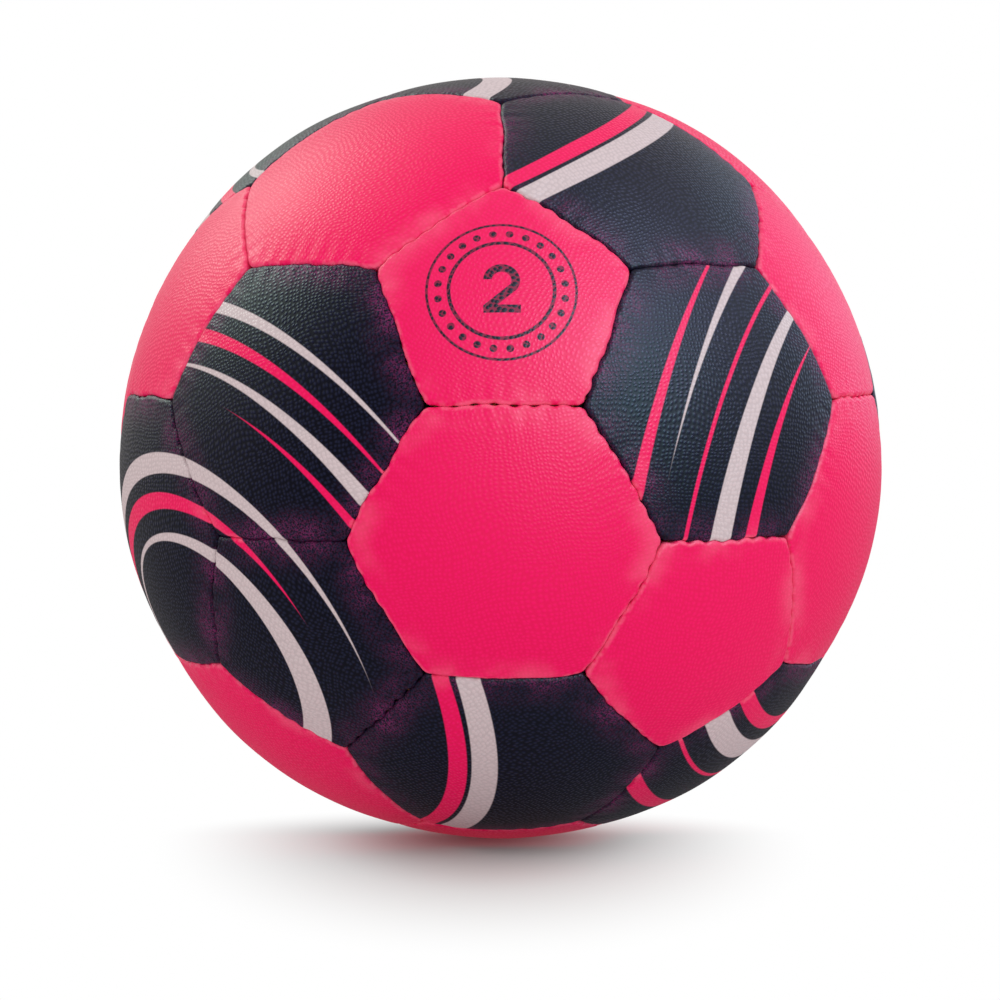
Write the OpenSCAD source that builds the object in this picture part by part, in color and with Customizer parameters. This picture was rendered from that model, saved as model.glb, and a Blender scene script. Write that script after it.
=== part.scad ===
// Handball, size 2, hand-stitched from 32 panels: 12 pentagons and 20 hexagons.
// Each panel is a cover with its rim turned in, a foam pad and a cloth lining.
// The turned-in rims of neighbouring panels are sewn together inside the ball.
// A rubber bladder with a needle valve fills the stitched cover.
// The origin is the ball's centre, +Z is up through the top pentagon and -Y is the front.

/* [Ball] */
// Girth of the blown-up ball, measured over the panels (a size 2 ball is 540 to 560)
girth = 550; // [540:1:560]
// How far each hexagon's dome centre lies off the ball's centre, which sets its crown
hexagon_crown = 10; // [4:1:12]
// The same for each pentagon, which is flatter
pentagon_crown = 3; // [0:1:6]

/* [Layers] */
// Thickness of the cover of synthetic leather
cover_t = 1.2; // [1:0.1:1.5]
// Thickness of the foam pad under the cover
foam_t = 2.8; // [2.4:0.1:3.6]
// Thickness of the cloth lining glued under the foam
lining_t = 0.8; // [0.6:0.1:1.2]
// Thickness of the bladder's wall
bladder_t = 1; // [0.8:0.1:1.5]
// Gap between two glued or touching layers
layer_fit = 0.1; // [0.08:0.02:0.16]

/* [Seams] */
// Gap between the turned-in rims of two neighbouring panels
seam_gap = 0.3; // [0.2:0.05:0.4]
// Radius of the roll where a cover turns in at a seam
edge_round = 1.5; // [1.2:0.1:1.8]
// Distance between two stitches along a seam
stitch_pitch = 4.3; // [3.8:0.1:5.4]
// Thickness of the waxed thread, which is square
thread_d = 0.65; // [0.5:0.05:0.75]
// Clearance of the thread in a stitch hole and beside a rim
thread_fit = 0.06; // [0.04:0.01:0.1]

/* [Valve] */
// Diameter of the needle's guide hole in the valve core
needle_bore_d = 2.1; // [2:0.05:2.4]
// Length of the round part of the guide hole
needle_bore_l = 6.5; // [5:0.5:8]
// Depth of the funnel at the guide hole's mouth
funnel_l = 0.5; // [0.3:0.1:0.8]
// Length of the valve core
core_l = 14; // [12:0.5:16]
// Diameter of the valve core's body
core_d = 5.8; // [5.4:0.1:6.4]
// Diameter of the core's nose, which stands in the cover's hole
nose_d = 3.8; // [3.4:0.1:4.2]
// Length of the core's nose
nose_l = 1.6; // [1.4:0.1:1.8]
// How far the nose stays below the cover's surface
nose_drop = 0.5; // [0.3:0.1:0.8]
// How far the core's collar stands out of its body
collar_out = 1.1; // [0.8:0.1:1.2]
// Length of the collar
collar_l = 2; // [1.5:0.1:2.5]
// Distance from the top of the core to the collar
collar_down = 5; // [4.5:0.1:6]
// Diameter of the valve's stem
stem_d = 11; // [10.6:0.1:12]
// Diameter of the valve's flange inside the bladder
flange_d = 26; // [20:1:32]
// Thickness of the valve's flange
flange_t = 1.5; // [1:0.1:2]
// Thickness of the stem's floor under the core
stem_floor_t = 1.4; // [1:0.1:2]
// Diameter of the air hole in the stem's floor
air_hole_d = 3; // [2:0.1:4]
// Clearance of the core in the stem and of the nose in the cover's hole
core_fit = 0.1; // [0.06:0.02:0.2]

/* [Patches] */
// Diameter of the patch that stiffens the cover round the valve
valve_patch_d = 30; // [24:1:36]
// Thickness of the valve patch
valve_patch_t = 0.7; // [0.5:0.1:1]
// Diameter of the patch that balances the valve, on the bladder's far wall
balance_patch_d = 26; // [20:1:34]
// Thickness of the balance patch
balance_patch_t = 1.6; // [1:0.1:2.4]

/* [Hidden] */
$fn = 96;
cover_pink = "#d8265f";
cover_navy = "#1d2440";
foam_grey = "#d9d6cf";
lining_white = "#ece8df";
thread_rose = "#b3204f";
bladder_black = "#2a2a2c";
valve_rubber = "#3b3a3d";
patch_grey = "#8d8b87";

// Directions of a truncated icosahedron's faces, as latitudes
pentagon_lat = asin(1 / sqrt(5));
face_turn = acos(sqrt((5 + 2 * sqrt(5)) / 15));
high_lat = 90 - face_turn;
low_lat = asin(1 / (3 * sqrt(5) * cos(face_turn)));
fifth = 360 / 5;
// Angle from a face's axis to the planes of its seams
hexagon_slope = acos(sqrt(5) / 3) / 2;
pentagon_slope = face_turn - hexagon_slope;
// Half the angle that a seam spans, seen from the ball's centre
hexagon_corner = atan(tan(hexagon_slope) / cos(30));
seam_half = acos(cos(hexagon_corner) / cos(hexagon_slope));

// Radii from the ball's centre, from the outside in
ball_r = girth / (2 * PI);
hexagon_dome_r = ball_r - hexagon_crown;
rim_r = hexagon_crown * cos(hexagon_slope)
      + sqrt(pow(hexagon_dome_r, 2) - pow(hexagon_crown * sin(hexagon_slope), 2));
pentagon_dome_r = sqrt(pow(rim_r, 2) + pow(pentagon_crown, 2)
                       - 2 * rim_r * pentagon_crown * cos(pentagon_slope));
foam_in_r = ball_r - cover_t - layer_fit - foam_t;
lining_r = foam_in_r - layer_fit;
lining_in_r = lining_r - lining_t;
bladder_r = lining_in_r - layer_fit;
bladder_in_r = bladder_r - bladder_t;
patch_r = bladder_in_r - layer_fit;
stitch_r = (lining_r + rim_r - cover_t) / 2;
// A block or disc this large reaches past the whole ball
reach = 2 * ball_r;

// Insets from the middle of a seam
rim_inset = seam_gap / 2;
cavity_inset = rim_inset + cover_t;
foam_inset = cavity_inset + thread_fit + thread_d + layer_fit;
lining_inset = cavity_inset + layer_fit;

// Stitches along one seam
stitch_count = round(2 * seam_half * PI / 180 * stitch_r / stitch_pitch);
stitch_step = 2 * seam_half / stitch_count;
stitch_last = (stitch_count - 1) / 2;
stitch_hole_r = thread_d * sqrt(2) / 2 + thread_fit;

// Heights along the valve's axis
core_top = ball_r - nose_drop;
core_low = core_top - core_l;
nose_low = core_top - nose_l;
collar_top = core_top - collar_down;
collar_low = collar_top - collar_l;
stem_top = ball_r - cover_t - layer_fit;
stem_low = core_low - core_fit - stem_floor_t;
core_r = core_d / 2;
collar_r = core_r + collar_out;
nose_r = nose_d / 2;
bore_r = needle_bore_d / 2;
stem_hole_r = stem_d / 2 + layer_fit;

// Share of the roll's radius that its middle lies below the dome and inside the seam's plane.
// It is under 1, so that the roll meets both at a clear angle.
roll_share = 0.97;

// Rings of panels: name, sides, latitude, turn of the first panel, roll, navy panels
RINGS = [
  ["pentagon_upper", 5, pentagon_lat, 0, 0, []],
  ["pentagon_lower", 5, -pentagon_lat, fifth / 2, 180, [3, 5]],
  ["hexagon_top", 6, high_lat, fifth / 2, 0, [1, 3, 4]],
  ["hexagon_upper", 6, low_lat, fifth / 2, 0, [1, 2, 5]],
  ["hexagon_lower", 6, -low_lat, 0, 0, [3, 4, 5]],
  ["hexagon_bottom", 6, -high_lat, 0, 0, [1, 2, 4]]
];
// Panels: name, sides, latitude, turn, roll, whether it is navy
PANELS = concat(
  [["pentagon_top", 5, 90, fifth / 2, 0, true], ["pentagon_bottom", 5, -90, 0, 180, false]],
  [for (ring = RINGS, i = [1 : 5])
    [str(ring[0], "_", i), ring[1], ring[2], ring[3] + (i - 1) * fifth, ring[4],
     len(search(i, ring[5])) > 0]]
);
valve_panel = "hexagon_upper_3";
balance_panel = "hexagon_lower_1";

// Groups of sewn seams: name, first letters of its panels, sides whose seams it holds
SEAM_GROUPS = [
  ["thread_pentagon_top", "pentagon_top", [0 : 4]],
  ["thread_pentagon_upper", "pentagon_upper", [0 : 4]],
  ["thread_pentagon_lower", "pentagon_lower", [0 : 4]],
  ["thread_pentagon_bottom", "pentagon_bottom", [0 : 4]],
  ["thread_hexagon_top", "hexagon_top", [0, 2]],
  ["thread_hexagon_upper", "hexagon_upper", [1, 5]],
  ["thread_hexagon_lower", "hexagon_lower", [0]],
  ["thread_hexagon_bottom", "hexagon_bottom", [1]]
];

function slope(sides) = sides == 5 ? pentagon_slope : hexagon_slope;
function crown(sides) = sides == 5 ? pentagon_crown : hexagon_crown;
function dome_r(sides) = sides == 5 ? pentagon_dome_r : hexagon_dome_r;
function starts_with(name, start) = [for (i = [0 : len(start) - 1]) name[i]]
                                  == [for (i = [0 : len(start) - 1]) start[i]];
function panels_like(start) = [for (panel = PANELS) if (starts_with(panel[0], start)) panel];
function panel_named(name) = panels_like(name)[0];

// Turns a shape on the +Z axis to a panel's place. A turn of 0 faces the front.
module at_panel(panel) {
  rotate([0, 0, panel[3] - 90])
    rotate([0, 90 - panel[2], 0])
      rotate([0, 0, panel[4]])
        children();
}

// Turns a shape to a seam of a panel: X crosses the seam, Z points out at its middle.
module at_seam(sides, side) {
  rotate([0, 0, side * 360 / sides])
    rotate([0, slope(sides), 0])
      children();
}

// Turns a shape to a stitch of a seam, on the line where the thread passes the rims
module at_stitch(sides, side, i) {
  at_seam(sides, side)
    rotate([(i - stitch_last) * stitch_step, 0, 0])
      translate([0, 0, stitch_r])
        children();
}

// Part of a sphere between the planes of a panel's seams, with each plane moved inwards
module wedge(sides, r, lift, inset) {
  difference() {
    translate([0, 0, lift]) sphere(r);
    for (side = [0 : sides - 1])
      at_seam(sides, side)
        translate([-inset, -reach / 2, -reach / 2])
          cube(reach);
  }
}

// What a seam takes off a dome: all beyond its plane, with the edge left rolled
module seam_cut(sides) {
  depth = roll_share * edge_round;
  seat_r = dome_r(sides) - depth;
  plane_h = crown(sides) * sin(slope(sides)) - rim_inset;
  seat_h = plane_h - depth;
  seat_w = sqrt(pow(seat_r, 2) - pow(seat_h, 2));
  lean = atan2(seat_h, seat_w);
  rotate_extrude($fn = 360)
    difference() {
      polygon([[0, plane_h], [seat_w, plane_h], [seat_w, seat_h], reach * [cos(lean), sin(lean)],
               [reach, reach], [0, reach]]);
      translate([seat_w, seat_h]) circle(edge_round, $fn = 48);
    }
}

// A panel's outer body with its edges rolled, cut from the dome one seam at a time
module rolled_body(sides, left) {
  if (left == 0)
    translate([0, 0, crown(sides)]) sphere(dome_r(sides));
  else
    difference() {
      rolled_body(sides, left - 1);
      at_seam(sides, left - 1)
        translate([-crown(sides) * sin(slope(sides)), 0, crown(sides) * cos(slope(sides))])
          rotate([0, 90, 0])
            seam_cut(sides);
    }
}

// A panel's cover before it is pierced: a crowned shell with a turned-in rim
module plain_cover(sides) {
  difference() {
    rolled_body(sides, sides);
    wedge(sides, dome_r(sides) - cover_t, crown(sides), cavity_inset);
    sphere(lining_in_r);
  }
}

// A panel's cover, pierced along its rim for the stitches
module cover(panel) {
  sides = panel[1];
  color(panel[5] ? cover_navy : cover_pink)
    at_panel(panel)
      difference() {
        plain_cover(sides);
        for (side = [0 : sides - 1], i = [0 : stitch_count - 1])
          at_stitch(sides, side, i)
            translate([-cavity_inset - cover_t / 2, 0, 0])
              rotate([0, 90, 0])
                cylinder(r = stitch_hole_r, h = cavity_inset + cover_t, $fn = 24);
        if (panel[0] == valve_panel)
          translate([0, 0, stem_top - foam_t])
            cylinder(r = nose_r + core_fit, h = foam_t + 2 * cover_t);
      }
}

// The foam pads under the covers of one kind of panel
module foam(sides, start) {
  color(foam_grey)
    for (panel = panels_like(start))
      at_panel(panel)
        difference() {
          wedge(sides, dome_r(sides) - cover_t - layer_fit, crown(sides), foam_inset);
          sphere(foam_in_r);
          if (panel[0] == valve_panel) {
            translate([0, 0, lining_in_r]) cylinder(r = stem_hole_r, h = reach);
            difference() {
              translate([0, 0, lining_in_r])
                cylinder(d = valve_patch_d + 2 * layer_fit, h = reach);
              translate([0, 0, hexagon_crown])
                sphere(hexagon_dome_r - cover_t - valve_patch_t - 2 * layer_fit);
            }
          }
        }
}

// The cloth linings under the foam pads of one kind of panel
module lining(sides, start) {
  color(lining_white)
    for (panel = panels_like(start))
      at_panel(panel)
        difference() {
          wedge(sides, lining_r, 0, lining_inset);
          sphere(lining_in_r);
          if (panel[0] == valve_panel)
            translate([0, 0, bladder_in_r]) cylinder(r = stem_hole_r, h = reach);
        }
}

// The thread of one seam: a run along each rim, joined through every stitch hole.
// It is a band bent round the ball, with a window between each two stitches.
module seam_thread(sides, side) {
  run_inset = cavity_inset + thread_fit;
  window_w = stitch_step * PI / 180 * stitch_r - thread_d;
  band_turn = 2 * seam_half - window_w / stitch_r * 180 / PI;
  at_seam(sides, side)
    difference() {
      rotate([0, 90, 0])
        rotate_extrude(angle = band_turn, start = 180 - band_turn / 2, $fn = 360)
          translate([stitch_r - thread_d / 2, -run_inset - thread_d])
            square([thread_d, 2 * (run_inset + thread_d)]);
      for (i = [1 : stitch_count - 1])
        rotate([i * stitch_step - seam_half, 0, 0])
          translate([-run_inset, -window_w / 2, stitch_r - thread_d])
            cube([2 * run_inset, window_w, 2 * thread_d]);
    }
}

// The sewn seams of one group of panels
module seam_threads(group) {
  color(thread_rose)
    for (panel = panels_like(group[1]), side = group[2])
      at_panel(panel) seam_thread(panel[1], side);
}

// The rubber bladder, with the hole that the valve's stem stands in
module bladder() {
  color(bladder_black)
    difference() {
      sphere(bladder_r, $fn = 160);
      sphere(bladder_in_r, $fn = 160);
      at_panel(panel_named(valve_panel))
        translate([0, 0, stem_low]) cylinder(r = stem_hole_r, h = reach);
    }
}

// A disc cut from a spherical shell that lies against a sphere's inside
module curved_disc(r, t, d, lift = 0) {
  difference() {
    intersection() {
      translate([0, 0, lift]) sphere(r);
      cylinder(d = d, h = reach);
    }
    translate([0, 0, lift]) sphere(r - t);
  }
}

// The valve's stem, with its flange inside the bladder and the core's seat
module valve_stem() {
  color(valve_rubber)
    at_panel(panel_named(valve_panel))
      difference() {
        union() {
          curved_disc(patch_r, flange_t, flange_d);
          translate([0, 0, stem_low]) cylinder(d = stem_d, h = stem_top - stem_low);
        }
        translate([0, 0, core_low - core_fit]) cylinder(r = core_r + core_fit, h = reach);
        translate([0, 0, collar_low - core_fit])
          cylinder(r = collar_r + core_fit, h = collar_l + 2 * core_fit);
        translate([0, 0, stem_low - stem_floor_t]) cylinder(d = air_hole_d, h = core_l);
      }
}

// The valve core: a rubber plug with a collar, a nose and the needle's guide hole
module valve_core() {
  mouth_r = bore_r + funnel_l;
  bore_low = core_top - funnel_l - needle_bore_l;
  color(valve_rubber)
    at_panel(panel_named(valve_panel))
      rotate_extrude()
        polygon([[0, core_low], [core_r - funnel_l, core_low], [core_r, core_low + funnel_l],
                 [core_r, collar_low], [collar_r, collar_low], [collar_r, collar_top],
                 [core_r, collar_top], [core_r, nose_low], [nose_r, nose_low],
                 [nose_r, core_top], [mouth_r, core_top], [bore_r, core_top - funnel_l],
                 [bore_r, bore_low], [0, bore_low - bore_r]]);
}

// The patch that stiffens the cover round the valve
module valve_patch() {
  color(patch_grey)
    at_panel(panel_named(valve_panel))
      difference() {
        curved_disc(hexagon_dome_r - cover_t - layer_fit, valve_patch_t, valve_patch_d, hexagon_crown);
        translate([0, 0, bladder_r]) cylinder(r = stem_hole_r, h = reach);
      }
}

// The patch on the bladder's far wall that balances the valve
module balance_patch() {
  color(patch_grey)
    at_panel(panel_named(balance_panel))
      curved_disc(patch_r, balance_patch_t, balance_patch_d);
}

for (panel = PANELS)
  cover(panel);
foam(5, "pentagon");  // foam_pentagons
foam(6, "hexagon");  // foam_hexagons
lining(5, "pentagon");  // lining_pentagons
lining(6, "hexagon");  // lining_hexagons
for (group = SEAM_GROUPS)
  seam_threads(group);
bladder();
valve_stem();
valve_core();
valve_patch();
balance_patch();
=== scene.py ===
import math

import bpy
import numpy as np
from mathutils import Matrix, Vector


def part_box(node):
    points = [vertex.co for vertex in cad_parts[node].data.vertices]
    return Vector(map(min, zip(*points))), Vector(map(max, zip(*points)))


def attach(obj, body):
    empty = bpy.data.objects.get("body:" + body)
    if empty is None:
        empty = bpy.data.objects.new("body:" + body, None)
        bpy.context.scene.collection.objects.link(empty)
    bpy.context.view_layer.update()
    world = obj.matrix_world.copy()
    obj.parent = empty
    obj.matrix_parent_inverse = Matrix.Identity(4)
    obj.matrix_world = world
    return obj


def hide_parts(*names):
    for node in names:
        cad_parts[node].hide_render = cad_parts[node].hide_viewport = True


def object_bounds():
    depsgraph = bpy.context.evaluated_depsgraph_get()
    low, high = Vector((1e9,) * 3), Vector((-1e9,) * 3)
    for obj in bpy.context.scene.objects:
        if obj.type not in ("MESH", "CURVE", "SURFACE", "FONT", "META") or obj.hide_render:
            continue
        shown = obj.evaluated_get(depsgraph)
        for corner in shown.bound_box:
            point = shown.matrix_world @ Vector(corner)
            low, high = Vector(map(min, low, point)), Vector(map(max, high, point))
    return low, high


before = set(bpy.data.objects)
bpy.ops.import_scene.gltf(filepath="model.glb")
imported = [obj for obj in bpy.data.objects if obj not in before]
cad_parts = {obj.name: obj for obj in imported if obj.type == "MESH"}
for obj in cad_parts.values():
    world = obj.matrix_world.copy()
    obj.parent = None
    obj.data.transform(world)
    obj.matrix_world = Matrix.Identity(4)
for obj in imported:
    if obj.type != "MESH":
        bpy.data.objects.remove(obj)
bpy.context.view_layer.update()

mm = 0.001


# The covers' shape
# A handball is sewn from 12 pentagons and 20 hexagons of synthetic leather. Each is laid over foam, turned
# in along its rim and sewn to its neighbours through that rim, so it is a shallow dome with a rolled edge
# that is nicked at every stitch. All the seams lie on the 90 edges of a truncated icosahedron.
girth = 550 * mm
ball_r = girth / (2 * math.pi)
crown = {5: 3 * mm, 6: 10 * mm}

# Angles at the ball's middle: from a pentagon's middle to a hexagon's, from a cover's middle to its side and
# to its corner, and over half a seam
face_turn = math.acos(math.sqrt((5 + 2 * math.sqrt(5)) / 15))
hexagon_slope = math.acos(math.sqrt(5) / 3) / 2
slope = {5: face_turn - hexagon_slope, 6: hexagon_slope}
hexagon_corner = math.atan(math.tan(slope[6]) / math.cos(math.pi / 6))
seam_half = math.acos(math.cos(hexagon_corner) / math.cos(slope[6]))

# Both kinds of dome meet at the seams, on a smaller ball
hexagon_dome_r = ball_r - crown[6]
rim_r = crown[6] * math.cos(slope[6]) + math.sqrt(hexagon_dome_r**2 - (crown[6] * math.sin(slope[6])) ** 2)
pentagon_dome_r = math.sqrt(rim_r**2 + crown[5] ** 2 - 2 * rim_r * crown[5] * math.cos(slope[5]))
dome_r = {5: pentagon_dome_r, 6: hexagon_dome_r}

# The sheet, which its UV maps show over this span, and its rolled rim
sheet_span = 100 * mm
cover_t = 1.2 * mm
roll_r = 1.2 * mm
roll_start = math.radians(28)
corner_r = {"pink": 3.7 * mm, "navy": 1.7 * mm}
rim_gap = 0.02 * mm
foam_gap = 0.3 * mm
skirt_foot_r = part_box("bladder")[1].z + 0.12 * mm
underside_inset = 1.6 * cover_t

# What sewing does to the rim. The seam that is closed last is drawn the tightest: it's the one under the
# front upper pentagon.
stitch_count = 8
stitch_pitch = 2 * seam_half / stitch_count * rim_r
wander = 0.3 * mm
scallop = 0.11 * mm
nick_in = {5: 0.5 * mm, 6: 0.24 * mm}
nick_down = 0.28 * mm
nick_half_l = 1.35 * mm
nick_taper = 1.5
usual_pull = 0.24
pull_spread = 0.26
closing_pull = 0.42
least_pull = 0.05
most_pull = 1.6
closing_latitude = math.atan(0.5) - slope[5]
closing_seam = np.array((0, -math.cos(closing_latitude), math.sin(closing_latitude))) * rim_r
closing_reach = 24 * mm
pucker_down = 0.2 * mm
crease_down = 0.07 * mm
sag_down = 0.09 * mm

# Rows of points in a cover: over its face, of these round the roll, down the skirt, and under the sheet
rows = 64
roll_rows = 7
row_widening = 1.15
skirt_rows = 3
inner_rows = 16
foot_level = skirt_rows + 1
wall_level = skirt_rows + 2
underside_level = skirt_rows + 3


def deselect():
    """Leaves nothing selected and the view in object mode."""
    if bpy.context.object and bpy.context.object.mode != "OBJECT":
        bpy.ops.object.mode_set(mode="OBJECT")
    bpy.ops.object.select_all(action="DESELECT")


def cut_blank(sides):
    """A flat stack of outlines for one cover: its face at height 0, the turned-in rim below it, row by row,
    and the lining side at the bottom. shape_cover() bends it into the real form."""
    deselect()
    bpy.ops.mesh.primitive_circle_add(vertices=sides, radius=1, fill_type="TRIFAN")
    blank = bpy.context.object
    bpy.ops.object.mode_set(mode="EDIT")
    bpy.ops.mesh.select_all(action="SELECT")
    bpy.ops.mesh.subdivide(number_cuts=rows - 1)
    bpy.ops.mesh.region_to_loop()
    for level in range(wall_level):
        bpy.ops.mesh.extrude_region_move(TRANSFORM_OT_translate={"value": (0, 0, -1)})
    bpy.ops.mesh.select_all(action="DESELECT")
    bpy.ops.mesh.primitive_circle_add(
        vertices=sides, radius=1, fill_type="TRIFAN", location=(0, 0, -underside_level)
    )
    bpy.ops.mesh.subdivide(number_cuts=inner_rows - 1)
    bpy.ops.mesh.select_all(action="DESELECT")
    bpy.ops.mesh.select_mode(type="EDGE")
    bpy.ops.mesh.select_non_manifold()
    bpy.ops.mesh.bridge_edge_loops()
    bpy.ops.mesh.select_all(action="SELECT")
    bpy.ops.mesh.normals_make_consistent(inside=False)
    bpy.ops.object.mode_set(mode="OBJECT")
    mesh = blank.data.copy()
    bpy.data.objects.remove(blank)
    turned_to_side = Matrix.Rotation(math.pi / sides - math.pi / 2, 4, "Z")
    mesh.transform(turned_to_side)
    return mesh


def unevenness(points, wave_l, count, seed):
    """A smooth uneven field between about -1 and 1 over the given points, from a few crossing waves."""
    draw = np.random.default_rng(seed)
    ways = draw.normal(size=(count, 3))
    ways /= np.linalg.norm(ways, axis=1)[:, None]
    lengths = wave_l * draw.uniform(0.7, 1.5, count)
    starts = draw.uniform(0, 2 * math.pi, count)
    waves = np.sin(points @ (ways / lengths[:, None] * 2 * math.pi).T + starts)
    return waves.sum(axis=1) / math.sqrt(count)


def shape_cover(mesh, sides, place, dye):
    """Bends one blank into its cover at its place on the ball, and notes on each point how far it lies from
    the rim and where it lay in the flat sheet. The points are set in code, because no operator can follow
    the dome, the rolled rim and each stitch at once."""
    blank = np.empty(len(mesh.vertices) * 3)
    mesh.vertices.foreach_get("co", blank)
    x, y, level = blank.reshape(-1, 3).T
    level = np.rint(-level).astype(int)
    side_turn = 2 * math.pi / sides
    turn = np.arctan2(y, x)
    side = np.rint(turn / side_turn)
    off = turn - side * side_turn
    reach = np.hypot(x, y) * np.cos(off) / math.cos(side_turn / 2)
    apothem = rim_r * slope[sides]
    turned = np.array(place.to_3x3())

    # How far each point lies in from the rim: close rows round the rolled edge, wider ones towards the middle
    row = (1 - reach) * rows
    roll_turn = roll_start + np.clip(row / roll_rows, 0, 1) * (math.pi / 2 - roll_start)
    middle_share = np.clip((row - roll_rows) / (rows - roll_rows), 0, 1)
    rolled_w = roll_r * math.cos(roll_start)
    inset = rolled_w - roll_r * np.cos(roll_turn) + (apothem - rolled_w) * middle_share**row_widening
    drop = roll_r * (1 - np.sin(roll_turn))
    underside = level == underside_level
    inset = np.where(underside, underside_inset + (apothem - underside_inset) * (1 - reach), inset)
    inset = np.where((level > skirt_rows) & ~underside, cover_t, inset)

    def near_rim(width):
        """The share of a rim's unevenness that is left at each point, which fades over this width."""
        return np.exp(-inset / width)

    # The outline of a sheet with rounded corners, from a power mean of its straight sides
    half_corner = math.pi / 2 - side_turn / 2
    corner_reach = rim_r * math.tan(slope[sides]) / math.cos(side_turn / 2)
    corner_loss = corner_r[dye] * (1 / math.sin(half_corner) - 1) / corner_reach
    sharpness = math.log(2) / -math.log(1 - corner_loss)
    barely_there = 1e-6
    total = sum(np.clip(np.cos(off + k * side_turn), barely_there, 1) ** sharpness for k in (-1, 0, 1))
    outline = total ** (-1 / sharpness)
    flat_r = outline * np.tan(slope[sides] - (inset + rim_gap) / rim_r)
    ways = np.stack([flat_r * np.cos(turn), flat_r * np.sin(turn), np.ones_like(turn)], axis=1)
    ways /= np.linalg.norm(ways, axis=1)[:, None]

    # Where each point lies along its side, and which stitch is nearest to it
    azimuth = side * side_turn
    flat_x = np.cos(azimuth)
    flat_y = np.sin(azimuth)
    flat_z = np.ones_like(azimuth)
    tilt_cos = math.cos(slope[sides])
    tilt_sin = math.sin(slope[sides])
    across = np.stack([flat_x * tilt_cos, flat_y * tilt_cos, -flat_z * tilt_sin], axis=1)
    up = np.stack([flat_x * tilt_sin, flat_y * tilt_sin, flat_z * tilt_cos], axis=1)
    along = np.cross(up, across)
    run = rim_r * np.arctan2((ways * along).sum(axis=1), (ways * up).sum(axis=1))
    run_share = np.abs(run) / (seam_half * rim_r)
    run_turn = (run / rim_r)[:, None]
    on_seam = rim_r * (up * np.cos(run_turn) + along * np.sin(run_turn)) @ turned.T
    last = (stitch_count - 1) / 2
    nearest = np.clip(np.rint(run / stitch_pitch - 0.5) + 0.5, -last, last)
    stitch_turn = (nearest * stitch_pitch / rim_r)[:, None]
    stitch_at = rim_r * (up * np.cos(stitch_turn) + along * np.sin(stitch_turn)) @ turned.T

    # The seam wanders, and waves from stitch to stitch. Both of its covers shift the same way, so it stays
    # shut: they lie on opposite sides of one direction, to which no seam is square.
    from_corner = 1 - np.clip(run_share, 0, 1) ** 4
    wave_from_corner = 1 - np.clip(run_share, 0, 1) ** 6
    astray = unevenness(on_seam, wave_l=13 * mm, count=6, seed=11) * from_corner
    wave_share = np.clip(1 + unevenness(stitch_at, wave_l=26 * mm, count=6, seed=4), 0, 2)
    wave = np.cos(2 * math.pi * run / stitch_pitch) * wave_share * wave_from_corner
    shift = wander * astray * near_rim(4 * mm) + scallop * wave * near_rim(2 * mm)
    one_way = np.array((0.53, 0.31, 0.79))
    to_one_side = np.sign((across @ turned.T) @ one_way)
    ways += across * (shift * to_one_side / rim_r)[:, None]

    # The thread pulls a nick into the rim at every stitch
    to_closing = np.linalg.norm(stitch_at - closing_seam, axis=1)
    pull = usual_pull + pull_spread * unevenness(stitch_at, wave_l=19 * mm, count=7, seed=5)
    pull = pull + closing_pull * np.exp(-((to_closing / closing_reach) ** 4))
    off_stitch = np.clip(np.abs(run - nearest * stitch_pitch) / nick_half_l, 0, 1)
    nick = np.cos(off_stitch * math.pi / 2) ** nick_taper * np.clip(pull, least_pull, most_pull)
    ways -= across * (nick * nick_in[sides] * near_rim(1.4 * mm) / rim_r)[:, None]
    ways /= np.linalg.norm(ways, axis=1)[:, None]
    drop = drop + nick * nick_down * near_rim(1.5 * mm)

    # The sheet puckers beside each stitch, creases along the rim, and is never quite even over its foam
    at_ball = ways @ turned.T * ball_r
    beside_stitch = 0.5 + 0.5 * np.cos(2 * math.pi * (run / stitch_pitch))
    pucker = beside_stitch * near_rim(3.2 * mm) * (1 - near_rim(0.8 * mm))
    pucker_share = np.clip(1 + unevenness(at_ball, wave_l=24 * mm, count=6, seed=8), 0, 2)
    drop = drop + pucker_down * pucker * pucker_share
    sides_apart = 9 * mm
    drawn_inwards = 0.2
    rim_strip = np.stack([run, side * sides_apart, inset * drawn_inwards], axis=1)
    crease_seed = int(turned[2, 0] * 97) % 50
    crease = unevenness(rim_strip, wave_l=2.6 * mm, count=7, seed=crease_seed)
    drop = drop + crease_down * crease * near_rim(3.5 * mm) * (1 - near_rim(0.9 * mm))
    sag = np.clip(1 + 0.5 * unevenness(at_ball, wave_l=21 * mm, count=8, seed=3), 0, 2)
    drop = drop + sag_down * sag * (1 - near_rim(4 * mm))

    # From the ball's middle outwards: the dome, its rim turned down to the skirt's foot, and the underside
    polar = ways[:, 2]
    dome = crown[sides] * polar + np.sqrt(dome_r[sides] ** 2 - crown[sides] ** 2 * (1 - polar**2))
    share = np.clip(level / skirt_rows, 0, 1)
    radius = (dome - drop) * (1 - share) + skirt_foot_r * share
    radius = np.where(level == foot_level, skirt_foot_r, radius)
    radius = np.where((level == wall_level) | underside, dome - cover_t - foam_gap, radius)
    points = ways * radius[:, None]

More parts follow.
